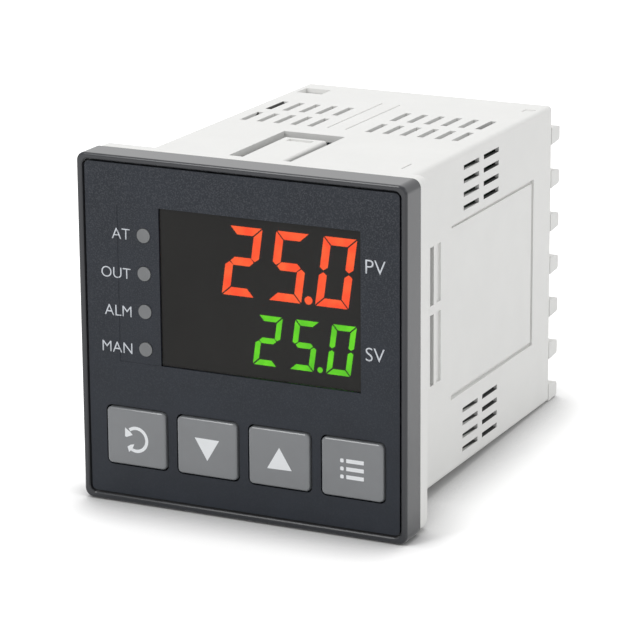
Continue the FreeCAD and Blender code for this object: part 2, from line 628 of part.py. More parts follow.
def case_shell(body):
    sketch = front_sketch(body, "flange_outline", "0")
    add_rounded(sketch, FLANGE_SIZE, FLANGE_SIZE, "flange_corner")
    pad(body, sketch, "flange_thickness")
    edge = value(FLANGE_SIZE) / 2 - value("flange_corner")
    round_edges(body, lambda e: lies_at(e, "y", 0.0) and reaches(e, edge, edge), "flange_edge")
    sketch = front_sketch(body, "tube_outline", "0")
    add_rounded(sketch, CASE_WIDTH, CASE_HEIGHT, "case_corner")
    pad(body, sketch, "case_length", rearward=True, draft="-case_draft")
    rear = value("case_length")
    round_edges(body, lambda e: lies_at(e, "y", rear), "case_edge")
    sketch = front_sketch(body, "cavity", "0")
    add_rounded(sketch, INNER_WIDTH, INNER_HEIGHT, "pocket_corner")
    pocket(body, sketch, "case_length", draft="-case_draft")
    sketch = front_sketch(body, "mouth", "0")
    add_rounded(sketch, INNER_WIDTH, INNER_HEIGHT, "pocket_corner")
    pocket(body, sketch, "flange_thickness", frontward=True)
    sketch = front_sketch(body, "board_bed", "-flange_thickness")
    side = BOARD_SIZE + " + 2 * board_pocket_gap"
    add_rounded(sketch, side, side, "pocket_corner")
    pocket(body, sketch, "board_pocket")


def case_guides(body):
    """Ribs on the roof and the floor that hold the upright boards to the side walls."""
    middle_x = "(" + SIDE_BOARD_INNER + " - guide_gap - guide_width / 2)"
    inner_edge = "(" + REAR_INNER_HEIGHT + " / 2 - guide_height)"
    outer_edge = "(" + INNER_HEIGHT + " / 2 + guide_root)"
    height = outer_edge + " - " + inner_edge
    middle_z = "(" + outer_edge + " + " + inner_edge + ") / 2"
    sketch = front_sketch(body, "guides", "0")
    for number, (side, level) in enumerate([("", ""), ("-", ""), ("", "-"), ("-", "-")]):
        add_rectangle(sketch, "guide_width", height, side + middle_x, level + middle_z,
                      "_%d" % number)
    pad(body, sketch, "guide_rear", rearward=True)


def case_vents(body):
    """Slots through the roof and floor and through both sides, whose walls are thinner there."""
    rows = [("top_vent_row_pitch / -2", "_front"), ("top_vent_row_pitch / 2", "_rear")]
    groups = [("left_vents", "-left_vent_x", "left_vent_count"),
              ("right_vents", "right_vent_x", "right_vent_count")]
    for name, start, count in groups:
        sketch = new_sketch(body, name, "XY_Plane", start, "top_vent_y")
        for place, tag in rows:
            add_rectangle(sketch, "top_vent_width", "top_vent_length", "0", place, tag)
        cut = pocket(body, sketch, "2 * " + CASE_HEIGHT, both=True)
        row_of(body, cut, sketch, "H_Axis", count, "top_vent_pitch", False)
    columns = [("side_vent_column_pitch / -2", "_front"), ("side_vent_column_pitch / 2", "_rear")]
    span = "side_vent_pitch * (side_vent_count - 1) / 2"
    for name, middle in (("upper_vents", "side_vent_z"), ("lower_vents", "-side_vent_z")):
        sketch = new_sketch(body, name, "YZ_Plane", "side_vent_y", middle + " - " + span)
        for place, tag in columns:
            add_rectangle(sketch, "side_vent_length", "side_vent_height", place, "0", tag)
        cut = pocket(body, sketch, "2 * " + CASE_WIDTH, both=True)
        row_of(body, cut, sketch, "V_Axis", "side_vent_count", "side_vent_pitch", False)
    web = "(" + CASE_WIDTH + " / 2 - tan(case_draft * 1deg) * side_vent_y - vent_web)"
    start = "(" + REAR_INNER_WIDTH + " / 2 - vent_margin)"
    length = "side_vent_column_pitch + side_vent_length + 2 * vent_margin"
    height = "2 * (" + span + " + vent_margin) + side_vent_height"
    for level in ("", "-"):
        for side, flip in (("", True), ("-", False)):
            sketch = new_sketch(body, "vent_relief", "YZ_Plane", "side_vent_y",
                                level + "side_vent_z", side + start)
            add_rectangle(sketch, length, height)
            pocket(body, sketch, web + " - " + start, frontward=flip)


def case_latch(body):
    """Opening in the roof with a snap tongue that is rooted at its front end."""
    roof = CASE_HEIGHT + " / 2"
    middle_y = "(latch_front + latch_rear) / 2"
    sketch = new_sketch(body, "latch_opening", "XY_Plane", "-latch_x", middle_y, roof)
    add_rectangle(sketch, "latch_width", "latch_rear - latch_front")
    pocket(body, sketch, "2 * case_wall")
    tip = "(latch_rear - tongue_end_gap)"
    root = "(latch_front - case_wall)"
    sketch = new_sketch(body, "tongue", "XY_Plane", "-latch_x", "(" + tip + " + " + root + ") / 2",
                        roof + " - tongue_drop")
    add_rectangle(sketch, "latch_width - 2 * tongue_side_gap", tip + " - " + root)
    pad(body, sketch, "case_wall - tongue_drop", rearward=True)
    level = value(roof + " - tongue_drop")
    end = value(tip)
    round_edges(body, lambda e: lies_at(e, "z", level) and abs(e.BoundBox.YMax - end) < 1e-4,
                "tongue_edge")
    sketch = new_sketch(body, "finger_grip", "XY_Plane", "-latch_x",
                        tip + " - finger_inset - finger_length / 2", roof + " - tongue_drop")
    add_rectangle(sketch, "finger_width", "finger_length")
    pocket(body, sketch, "finger_depth")


def case_marks(body):
    """Two fine grooves, a nick and a dimple in the roof; label field, slits and side strips."""
    top = CASE_HEIGHT + " / 2"
    fall = "tan(case_draft * 1deg)"
    sketch = new_sketch(body, "channel", "XY_Plane", "-channel_x",
                        "(channel_front + channel_rear) / 2", top)
    for sign, tag in (("-", "_left"), ("", "_right")):
        add_rectangle(sketch, "channel_line", "channel_rear - channel_front",
                      sign + "channel_width / 2", "0", tag)
    pocket(body, sketch, "channel_depth + " + fall + " * channel_rear")
    sketch = new_sketch(body, "nick", "XY_Plane", "nick_x", "nick_y", top)
    add_rectangle(sketch, "nick_width", "nick_length")
    pocket(body, sketch, "nick_depth + " + fall + " * nick_y")
    sketch = new_sketch(body, "dimple", "XY_Plane", "dimple_x", "dimple_y", top)
    add_rectangle(sketch, "dimple_size", "dimple_size")
    pocket(body, sketch, "dimple_depth + " + fall + " * dimple_y")
    side = CASE_WIDTH + " / 2"
    middle_y = "(label_front + label_rear) / 2"
    sketch = new_sketch(body, "label_field", "YZ_Plane", middle_y, "label_z", side)
    add_rectangle(sketch, "label_rear - label_front", "label_height")
    pocket(body, sketch, "label_depth + " + fall + " * " + middle_y)
    sketch = new_sketch(body, "label_groove", "YZ_Plane", middle_y, "label_z", side)
    length = "(label_rear - label_front)"
    for sign, tag in (("", "_top"), ("-", "_low")):
        add_rectangle(sketch, length + " - label_groove", "label_groove", "-label_groove / 2",
                      sign + "(label_height - label_groove) / 2", tag)
    add_rectangle(sketch, "label_groove", "label_height", "(" + length + " - label_groove) / 2",
                  "0", "_end")
    pocket(body, sketch, "label_groove_depth + " + fall + " * " + middle_y)
    for name, middle, length in (("upper", "slit_upper_z", "slit_upper_length"),
                                 ("lower", "-slit_lower_z", "slit_lower_length")):
        sketch = new_sketch(body, name + "_slit", "YZ_Plane", "slit_y", middle)
        add_rectangle(sketch, "slit_width", length)
        pocket(body, sketch, "2 * " + CASE_WIDTH, both=True)
        for sign, flip in (("", False), ("-", True)):
            sketch = new_sketch(body, name + "_strip", "YZ_Plane", "strip_y", middle, sign + side)
            add_rectangle(sketch, "strip_width", length)
            pocket(body, sketch, "strip_depth + " + fall + " * strip_y", frontward=flip)


def case_windows(body):
    """Window in the roof for the terminal base's hook."""
    sketch = new_sketch(body, "hook_window", "XY_Plane", "-hook_x",
                        "case_length - hook_rear + hook_length / 2 - hook_length",
                        CASE_HEIGHT + " / 2")
    add_rectangle(sketch, "hook_width + 2 * hook_gap", "hook_length + 2 * hook_gap")
    pocket(body, sketch, "3 * case_wall")


# ---- boards --------------------------------------------------------------------------------

def display_board():
    box("display_board", "0", BOARD_FRONT, "0", BOARD_SIZE, "board_thickness", BOARD_SIZE)


def side_boards():
    for label, side in (("main_board", "-"), ("power_board", "")):
        middle = side + "(" + SIDE_BOARD_INNER + " + board_thickness / 2)"
        box(label, middle, "side_board_front", "0", "board_thickness",
            "side_board_rear - side_board_front", SIDE_BOARD_HEIGHT)
    for label, side in (("signal_header", "-"), ("power_header", "")):
        middle = side + "(" + SIDE_BOARD_INNER + " - header_width / 2)"
        box(label, middle, BOARD_BACK, "0", "header_width",
            "2 * (side_board_front - " + BOARD_BACK + ")", "header_height")


def transformer():
    """Core with two windows lying on the power board, and the coil on its middle leg."""
    base_x = "(" + SIDE_BOARD_INNER + " - foot_height)"
    body = new_body("transformer_core")
    sketch = new_sketch(body, "core_outline", "YZ_Plane", "transformer_y", "transformer_z",
                        base_x)
    add_rectangle(sketch, "core_length", "core_width")
    window = "((core_width - 2 * core_yoke - core_leg) / 2)"
    for sign, tag in (("", "_up"), ("-", "_down")):
        add_rectangle(sketch, "core_length - 2 * core_yoke", window, "0",
                      sign + "(core_leg + " + window + ") / 2", tag)
    pad(body, sketch, "core_height", rearward=True)
    body = new_body("transformer_coil")
    sketch = front_sketch(body, "coil_outline", "transformer_y - " + COIL_LENGTH + " / 2",
                          base_x + " - core_height / 2", "transformer_z")
    add_rectangle(sketch, "core_height + 2 * foot_height",
                  "core_width - 2 * core_yoke - 2 * coil_gap")
    add_rectangle(sketch, "core_height + 2 * coil_gap", "core_leg + 2 * coil_gap", "0", "0", "_leg")
    pad(body, sketch, COIL_LENGTH, rearward=True)


def board_cylinder(name, y, z, diameter, height):
    """Round part that stands on the power board."""
    item = DOC.addObject("Part::Cylinder", name)
    bind(item, Radius=diameter + " / 2", Height=height)
    item.Placement.Rotation = FreeCAD.Rotation(FreeCAD.Vector(0, 1, 0), -90)
    return put(item, name, SIDE_BOARD_INNER, y, z)


def board_parts():
    board_cylinder("mains_capacitor", "mains_y", "-mains_z", "mains_diameter", "mains_height")
    members = []
    for index in range(int(value("small_count"))):
        members.append(board_cylinder("small_capacitor_%d" % (index + 1),
                                      "small_y + small_pitch * %d" % index, "-small_z",
                                      "small_diameter", "small_height"))
    group("output_capacitors", members)
    for label, sign in (("alarm_relay", ""), ("output_relay", "-")):
        box(label, SIDE_BOARD_INNER + " - relay_height / 2", "relay_y", sign + "relay_z",
            "relay_height", "relay_length", "relay_width")
    on_main = "-(" + SIDE_BOARD_INNER + " - %s / 2)"
    box("microcontroller", on_main % "chip_thickness", "chip_y", "chip_z", "chip_thickness",
        "chip_size", "chip_size")
    box("input_amplifier", on_main % "amplifier_thickness", "amplifier_y", "amplifier_z",
        "amplifier_thickness", "amplifier_length", "amplifier_width")
    members = []
    for index in range(int(value("isolator_count"))):
        members.append(box("isolator_%d" % (index + 1), on_main % "isolator_thickness",
                           "isolator_y + isolator_pitch * %d" % index, "-isolator_z",
                           "isolator_thickness", "isolator_length", "isolator_width"))
    group("signal_isolators", members)


# ---- terminals -----------------------------------------------------------------------------

def both_sides(sketch, add, x, *sizes, **tags):
    """The same outline at +x and at -x."""
    add(sketch, *sizes, x=x, y="0", tag="_right")
    add(sketch, *sizes, x="-(" + x + ")", y="0", tag="_left")


def terminal_base():
    body = new_body("terminal_base")
    sketch = front_sketch(body, "base_plate", BASE_FRONT)
    add_rounded(sketch, REAR_INNER_WIDTH + " - 2 * base_gap", REAR_INNER_HEIGHT + " - 2 * base_gap",
                "pocket_corner")
    pad(body, sketch, "base_thickness", rearward=True)
    base_bosses(body)
    base_teeth(body)
    base_openings(body)
    base_hook(body)


def base_bosses(body):
    sketch = front_sketch(body, "screw_bosses", BASE_FRONT, "0", FIRST_BAY)
    both_sides(sketch, add_circle, SCREW_X, "boss_diameter")
    feature = pad(body, sketch, "boss_depth")
    row_of(body, feature, sketch, "V_Axis", "bay_count", BAY_PITCH, True)


def base_teeth(body):
    """Barrier walls between the terminals: rooted on the plate, resting on the case's rim."""
    inner = "(" + REAR_INNER_WIDTH + " / 2 - base_gap)"
    width = "(" + inner + " - " + SPINE_X + ")"
    sketch = front_sketch(body, "tooth_roots", BASE_BACK, "0", FIRST_TOOTH)
    both_sides(sketch, add_rectangle, "(" + inner + " + " + SPINE_X + ") / 2", width, "tooth_root")
    feature = pad(body, sketch, "base_recess", rearward=True)
    row_of(body, feature, sketch, "V_Axis", "bay_count + 1", BAY_PITCH, True)
    root, tip = value("tooth_root") / 2, value("tooth_tip") / 2
    start, end = value("case_length"), value(TOOTH_END)
    first = value(FIRST_TOOTH)
    outline = [(start, first - root), (start, first + root), (end, first + tip), (end, first - tip)]
    for name, plane in (("right_teeth", REAR_WIDTH + " / 2"), ("left_teeth", "-" + SPINE_X)):
        sketch = new_sketch(body, name, "YZ_Plane", "0", "0", plane)
        add_polygon(sketch, outline)
        feature = pad(body, sketch, "comb_depth", rearward=True)
        row_of(body, feature, sketch, "V_Axis", "bay_count + 1", BAY_PITCH, True)
    round_edges(body, lambda e: lies_at(e, "y", end) and e.BoundBox.XLength > 1, "tooth_round")
    sketch = front_sketch(body, "spines", BASE_BACK)
    height = BAY_PITCH + " * bay_count + tooth_root"
    middle = FIRST_TOOTH + " + " + BAY_PITCH + " * bay_count / 2"
    for sign, tag in (("", "_right"), ("-", "_left")):
        add_rectangle(sketch, "comb_spine", height, sign + "(" + SPINE_X + " - comb_spine / 2)",
                      middle, tag)
    pad(body, sketch, "base_recess + spine_height", rearward=True)
    sketch = front_sketch(body, "rim_clearance", "case_length")
    add_rectangle(sketch, CASE_WIDTH, CASE_HEIGHT)
    add_rounded(sketch, REAR_INNER_WIDTH + " - 2 * base_gap", REAR_INNER_HEIGHT + " - 2 * base_gap",
                "pocket_corner", "_kept")
    pocket(body, sketch, "base_recess", frontward=True)


def base_openings(body):
    sketch = front_sketch(body, "screw_bores", BASE_BACK, "0", FIRST_BAY)
    both_sides(sketch, add_circle, SCREW_X, "screw_shank + 2 * screw_gap")
    depth = "(screw_length - clamp_thickness - tab_thickness + screw_gap)"
    feature = pocket(body, sketch, depth, frontward=True)
    row_of(body, feature, sketch, "V_Axis", "bay_count", BAY_PITCH, False)
    sketch = front_sketch(body, "tail_slots", BASE_BACK, "0", FIRST_BAY)
    tail_x = "(" + SIDE_BOARD_INNER + " - tab_thickness / 2)"
    both_sides(sketch, add_rectangle, tail_x, "tab_thickness + 2 * tab_gap", "tab_tail + 2 * tab_gap")
    feature = pocket(body, sketch, "base_thickness", frontward=True)
    row_of(body, feature, sketch, "V_Axis", "bay_count", BAY_PITCH, False)


def base_hook(body):
    """Arm that runs forward under the roof, with a hook standing in the case's window."""
    roof = "(" + REAR_INNER_HEIGHT + " / 2 - base_gap)"
    reach = "hook_rear + hook_length"
    sketch = new_sketch(body, "hook_arm", "XY_Plane", "(hook_width - hook_arm_width) / 2 - hook_x",
                        BASE_FRONT + " - (" + reach + " - base_recess - base_thickness) / 2", roof)
    add_rectangle(sketch, "hook_arm_width", reach + " - base_recess - base_thickness")
    pad(body, sketch, "hook_arm", rearward=True)
    sketch = new_sketch(body, "hook_head", "XY_Plane", "-hook_x",
                        "case_length - hook_rear - hook_length / 2", roof)
    add_rectangle(sketch, "hook_width", "hook_length")
    pad(body, sketch, "base_gap + case_wall - hook_drop")


def terminal_group(label, shapes):
    """Body of twelve equal solids: columns at both sides, repeated up the bays."""
    body = new_body(label)
    body.AllowCompound = True
    for name, add, plane, x, sizes, length, grows in shapes:
        sketch = front_sketch(body, label + name, plane, "0", FIRST_BAY)
        both_sides(sketch, add, x, *sizes)
        if grows:
            feature = pad(body, sketch, length, rearward=True)
        else:
            feature = pocket(body, sketch, length, frontward=True)
        row_of(body, feature, sketch, "V_Axis", "bay_count", BAY_PITCH, grows)


def terminal_metal():
    tab_x = "(" + SIDE_BOARD_INNER + " - tab_width / 2)"
    tail_x = "(" + SIDE_BOARD_INNER + " - tab_thickness / 2)"
    bore = "screw_shank + 2 * screw_gap"
    tail = TAB_BACK + " - side_board_rear + tab_overlap"
    terminal_group("terminal_tabs", [
        ("_plate", add_rectangle, BASE_BACK, tab_x, ("tab_width", "tab_height"),
         "tab_thickness", True),
        ("_tail", add_rectangle, "side_board_rear - tab_overlap", tail_x,
         ("tab_thickness", "tab_tail"), tail, True),
        ("_bore", add_circle, TAB_BACK, SCREW_X, (bore,), "tab_thickness", False),
    ])
    terminal_group("terminal_clamps", [
        ("_plate", add_rectangle, TAB_BACK, SCREW_X, ("clamp_size", "clamp_size"),
         "clamp_thickness", True),
        ("_bore", add_circle, CLAMP_BACK, SCREW_X, (bore,), "clamp_thickness", False),
    ])
    head_back = CLAMP_BACK + " + screw_head_height"
    terminal_group("terminal_screws", [
        ("_head", add_circle, CLAMP_BACK, SCREW_X, ("screw_head",), "screw_head_height", True),
        ("_shank", add_circle, CLAMP_BACK + " - screw_length", SCREW_X, ("screw_shank",),
         "screw_length", True),
        ("_slot", add_rectangle, head_back, SCREW_X, ("1.1 * screw_head", "screw_slot"),
         "screw_slot_depth", False),
    ])


# ---- assembly ------------------------------------------------------------------------------

KEYS = ["return", "down", "up", "menu"]
LENSES = ["autotune", "output", "alarm", "manual"]
NODES = [
    "front_bezel", "front_panel", "display_window", "status_lamps",
    "pv_display", "pv_segments", "sv_display", "sv_segments", "rear_case",
    "display_board", "main_board", "power_board", "signal_header", "power_header",
    "transformer_core", "transformer_coil", "mains_capacitor", "output_capacitors",
    "alarm_relay", "output_relay", "microcontroller", "input_amplifier", "signal_isolators",
    "terminal_base", "terminal_tabs", "terminal_clamps", "terminal_screws",
]
NODES += [name + "_lens" for name in LENSES]
NODES += [name + suffix for name in KEYS for suffix in ("_key", "_switch", "_plunger")]


def build():
    fill_sheet()
    front_bezel()
    front_panel()
    display_window()
    for index, name in enumerate(LENSES):
        status_lens(name + "_lens", index)
    status_lamps()
    for index, name in enumerate(KEYS):
        keycap(name + "_key", index)
        switch_body(name + "_switch", index)
        switch_plunger(name + "_plunger", index)
    display_module("pv_display", "pv")
    lit_segments("pv_segments", "pv", "250", 1)
    display_module("sv_display", "sv")
    lit_segments("sv_segments", "sv", "250", 1)
    rear_case()
    display_board()
    side_boards()
    transformer()
    board_parts()
    terminal_base()
    terminal_metal()
    DOC.recompute()


def check():
    for item in DOC.Objects:
        if "Invalid" in item.State or "Error" in item.State:
            raise RuntimeError(item.Name + " failed: " + ", ".join(item.State))
    for label in NODES:
        shape = DOC.getObjectsByLabel(label)[0].Shape
        if shape.isNull() or not shape.isValid() or not shape.Solids:
            raise RuntimeError(label + " has no valid solid")


def export():
    os.makedirs("parts", exist_ok=True)
    for label in NODES:
        shape = DOC.getObjectsByLabel(label)[0].Shape
        shape.exportStep("parts/" + label + ".step")
        print("%-20s solids %2d  volume %9.2f" % (label, len(shape.Solids), shape.Volume))


build()
check()
export()
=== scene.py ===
import math

import bmesh
import bpy
from mathutils import Matrix, Vector
from mathutils.geometry import delaunay_2d_cdt


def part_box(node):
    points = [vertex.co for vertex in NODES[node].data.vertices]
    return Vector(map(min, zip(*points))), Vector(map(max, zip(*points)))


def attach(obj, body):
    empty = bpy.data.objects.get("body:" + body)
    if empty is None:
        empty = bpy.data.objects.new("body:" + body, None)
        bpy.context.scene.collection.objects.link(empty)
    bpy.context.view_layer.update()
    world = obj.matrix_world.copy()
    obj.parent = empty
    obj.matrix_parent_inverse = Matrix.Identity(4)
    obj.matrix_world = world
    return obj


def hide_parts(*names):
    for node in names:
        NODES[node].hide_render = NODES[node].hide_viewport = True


# Looks for the panel-mounted temperature controller. The frame is the CAD's: +X to the right seen
# from the front, +Y rearwards, +Z up. Lengths are in metres; those of the part are given as
# millimetres times MM.

MM = 0.001
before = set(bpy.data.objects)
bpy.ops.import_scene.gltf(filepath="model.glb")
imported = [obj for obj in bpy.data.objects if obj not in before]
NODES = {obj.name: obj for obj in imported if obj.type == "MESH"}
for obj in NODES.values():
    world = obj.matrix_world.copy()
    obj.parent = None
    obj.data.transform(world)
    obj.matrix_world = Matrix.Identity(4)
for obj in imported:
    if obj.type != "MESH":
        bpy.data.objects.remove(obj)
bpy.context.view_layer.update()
KEYS = ("return", "down", "up", "menu")
scene = bpy.context.scene
scene.view_settings.view_transform = "Standard"


# ---- parts of a shader ---------------------------------------------------------------------

def new_material(name):
    mat = bpy.data.materials.new(name)
    mat.use_nodes = True
    return mat, mat.node_tree.nodes, mat.node_tree.links, mat.node_tree.nodes["Principled BSDF"]


def set_inputs(node, values):
    for name, value in values.items():
        node.inputs[name].default_value = value


def noise(nodes, links, scale, detail=4.0, rough=0.6):
    """Noise in the object's own space; scale is in repeats per metre."""
    coord = nodes.new("ShaderNodeTexCoord")
    tex = nodes.new("ShaderNodeTexNoise")
    set_inputs(tex, {"Scale": scale, "Detail": detail, "Roughness": rough})
    links.new(coord.outputs["Object"], tex.inputs["Vector"])
    return tex.outputs["Fac"]


def ramp(nodes, links, factor, start, end):
    """Colour that runs from start to end; each is a value of the factor and a colour."""
    node = nodes.new("ShaderNodeValToRGB")
    for element, (place, colour) in zip(node.color_ramp.elements, (start, end)):
        element.position = place
        element.color = (*colour, 1)
    links.new(factor, node.inputs["Fac"])
    return node.outputs["Color"]


def bump(nodes, links, shader, height, distance):
    node = nodes.new("ShaderNodeBump")
    set_inputs(node, {"Distance": distance, "Strength": 1.0})
    links.new(height, node.inputs["Height"])
    links.new(node.outputs["Normal"], shader.inputs["Normal"])


def combine(nodes, links, operation, first, second):
    """Math node on two values."""
    node = nodes.new("ShaderNodeMath")
    node.operation = operation
    links.new(first, node.inputs[0])
    links.new(second, node.inputs[1])
    return node.outputs[0]


def map_range(nodes, links, value, source, target):
    """Value taken from the range source to the range target, and held at its ends."""
    node = nodes.new("ShaderNodeMapRange")
    ends = ("From Min", "From Max", "To Min", "To Max")
    set_inputs(node, dict(zip(ends, source + target)))
    links.new(value, node.inputs["Value"])
    return node.outputs["Result"]


def shade(colour, factor):
    return tuple(min(1.0, c * factor) for c in colour)


# ---- kinds of material ---------------------------------------------------------------------

MOULDING_TONE = 90.0            # repeats per metre of a moulding's slow change of tone
# Painted light: the specks are full strength at the top and faint at the foot, standing for light from
# above that grazes the top.
SPECK_LIGHT_HEIGHTS = (-20 * MM, 34 * MM)
SPECK_LIGHT_STRENGTHS = (0.15, 1.0)   # at these two heights
METAL_TONE = 400.0
METAL_GRAIN_DEPTH = 0.004 * MM
BAR_TONE = 260.0
UNLIT = 0.2                     # a display bar's own colour, as a share of its light's
PANE_TONE = 45.0


def speckle_and_paint_light(nodes, links, base, speck, grain):
    """Base colour with light specks of the moulding's grain; their fade towards the part's foot is
    painted light from above.
    """
    spots = ramp(nodes, links, noise(nodes, links, grain * 0.8, 2.0, 0.7),
                 (0.48, (0.0, 0.0, 0.0)), (0.68, (1.0, 1.0, 1.0)))
    coord = nodes.new("ShaderNodeTexCoord")
    split = nodes.new("ShaderNodeSeparateXYZ")
    links.new(coord.outputs["Object"], split.inputs["Vector"])
    # Painted light from above: the specks show less towards the foot.
    painted_light_fade = map_range(nodes, links, split.outputs["Z"], SPECK_LIGHT_HEIGHTS, SPECK_LIGHT_STRENGTHS)
    amount = combine(nodes, links, "MULTIPLY", spots, painted_light_fade)
    mix = nodes.new("ShaderNodeMix")
    mix.data_type = "RGBA"
    links.new(amount, mix.inputs["Factor"])
    links.new(base, mix.inputs["A"])
    mix.inputs["B"].default_value = (*speck, 1)
    return mix.outputs["Result"]


def plastic(name, colour, roughness, grain=3500.0, depth=0.006, spread=0.1, specular=0.5,
            speck=None):
    """Moulded plastic: fine grain, depth mm high, and a colour that is uneven by spread."""
    mat, nodes, links, shader = new_material(name)
    base = ramp(nodes, links, noise(nodes, links, MOULDING_TONE, 3.0),
                (0.35, shade(colour, 1 - spread)), (0.65, shade(colour, 1 + spread)))
    if speck:
        base = speckle_and_paint_light(nodes, links, base, speck, grain)
    links.new(base, shader.inputs["Base Color"])
    set_inputs(shader, {"Roughness": roughness, "Specular IOR Level": specular})
    if depth:
        bump(nodes, links, shader, noise(nodes, links, grain, 3.0), depth * MM)
    return mat


def metal(name, colour, roughness, grain=2500.0):
    """Bare or plated metal with a fine grain."""
    mat, nodes, links, shader = new_material(name)
    base = ramp(nodes, links, noise(nodes, links, METAL_TONE),
                (0.3, shade(colour, 0.85)), (0.7, shade(colour, 1.05)))
    links.new(base, shader.inputs["Base Color"])
    set_inputs(shader, {"Metallic": 1.0, "Roughness": roughness})
    bump(nodes, links, shader, noise(nodes, links, grain), METAL_GRAIN_DEPTH)
    return mat


def lit(name, edge, core, strength):
    """Lit display bar, a little uneven along its length."""
    mat, nodes, links, shader = new_material(name)
    glow = ramp(nodes, links, noise(nodes, links, BAR_TONE, 2.0), (0.35, edge), (0.65, core))
    links.new(glow, shader.inputs["Emission Color"])
    set_inputs(shader, {"Emission Strength": strength, "Base Color": (*shade(edge, UNLIT), 1),
                        "Roughness": 0.5})
    return mat


def smoked(name, colour, alpha):
    """Satin pane with a faint drift in its tone; it hides the share alpha of what is behind.

    The roughness is high enough for the renderer's denoiser to keep the pane's own surface,
    which a glossier pane would leave mottled.
    """
    mat, nodes, links, shader = new_material(name)
    base = ramp(nodes, links, noise(nodes, links, PANE_TONE, 2.0),
                (0.3, shade(colour, 0.85)), (0.7, shade(colour, 1.15)))
    links.new(base, shader.inputs["Base Color"])
    set_inputs(shader, {"Roughness": 0.32, "Specular IOR Level": 0.18, "Alpha": alpha})
    return mat


def add_layer(mat, kind, weight, roughness):
    """Thin layer on a plastic: a "Coat" gives gloss, a "Sheen" a soft bright rim."""
    shader = mat.node_tree.nodes["Principled BSDF"]
    set_inputs(shader, {kind + " Weight": weight, kind + " Roughness": roughness})


# ---- materials -----------------------------------------------------------------------------

# Case and terminal base
CASE = plastic("case_grey", (0.80, 0.80, 0.785), 0.48, grain=2600.0, depth=0.005, spread=0.012)
# Painted shade: a dark grey on the case's inner faces and on the long walls of its side slots, where
# there is only shade; the case is one light grey throughout.
CASE_PAINTED_SHADE = plastic("case_painted_shade", (0.10, 0.10, 0.098), 0.6, grain=2600.0, depth=0.005, spread=0.012)
BASE = plastic("terminal_grey", (0.79, 0.79, 0.775), 0.5, grain=2600.0, depth=0.005, spread=0.015)

# Frame and panel
BEZEL = plastic("bezel_grey", (0.022, 0.024, 0.029), 0.14, grain=3000.0, depth=0.002, spread=0.06)
add_layer(BEZEL, "Sheen", 0.35, 0.35)
# The panel's specks are its grain; their fade downwards is painted light from above.
PANEL = plastic("panel_slate", (0.0135, 0.0172, 0.0245), 0.45, grain=4600.0, depth=0.006,
                spread=0.12, specular=0.28, speck=(0.050, 0.054, 0.064))

# Keys and print
KEY = plastic("key_grey", (0.160, 0.168, 0.177), 0.2, grain=4000.0, depth=0.001, spread=0.04)
add_layer(KEY, "Coat", 0.7, 0.1)
# Painted shade: near black on each key's lip and stem, so that the gap round the key looks dark; the key
# is one grey throughout.
KEY_GAP_SHADE = plastic("key_gap_painted_shade", (0.012, 0.012, 0.013), 0.6, grain=4000.0, depth=0.002, spread=0.1)
PRINT = plastic("print_white", (0.80, 0.82, 0.84), 0.5, grain=6000.0, depth=0.001, spread=0.02)
LEGEND = plastic("legend_ink", (0.66, 0.69, 0.74), 0.5, grain=6000.0, depth=0.001, spread=0.02)

# Window, displays and lamps
WINDOW = smoked("smoked_window", (0.013, 0.0125, 0.0115), 0.94)
CLEAR = smoked("window_clear", (0.02, 0.02, 0.02), 0.02)
DISPLAY = plastic("display_black", (0.012, 0.012, 0.012), 0.7, depth=0.0, spread=0.1)
RED = lit("lit_red", (1.0, 0.068, 0.012), (1.0, 0.115, 0.022), 17.0)
GREEN = lit("lit_green", (0.082, 0.53, 0.001), (0.13, 0.70, 0.002), 17.0)
LENS = plastic("lens_grey", (0.17, 0.175, 0.18), 0.28, grain=1500.0, depth=0.001, spread=0.1)
LAMP = plastic("lamp_yellow", (0.75, 0.62, 0.25), 0.3, depth=0.002, spread=0.1)

# Parts on the boards
BOARD = plastic("board_green", (0.006, 0.035, 0.014), 0.3, grain=900.0, depth=0.004, spread=0.25)
BLACK = plastic("black_plastic", (0.012, 0.012, 0.013), 0.4, depth=0.004, spread=0.2)
SLEEVE = plastic("capacitor_sleeve", (0.015, 0.02, 0.06), 0.35, depth=0.002, spread=0.1)
RELAY = plastic("relay_blue", (0.02, 0.07, 0.26), 0.3, depth=0.003, spread=0.06)
TAPE = plastic("coil_tape", (0.62, 0.42, 0.05), 0.3, grain=700.0, depth=0.02, spread=0.12)
PLUNGER = plastic("plunger_red", (0.4, 0.05, 0.04), 0.4, depth=0.002, spread=0.08)
WHITE = plastic("isolator_white", (0.7, 0.7, 0.68), 0.4, depth=0.003, spread=0.04)

# Metal
CORE = metal("core_steel", (0.25, 0.25, 0.26), 0.45, grain=1800.0)
BRASS = metal("contact_brass", (0.74, 0.55, 0.25), 0.3)
STEEL = metal("plated_steel", (0.72, 0.73, 0.74), 0.28)


# ---- materials of the CAD nodes ------------------------------------------------------------

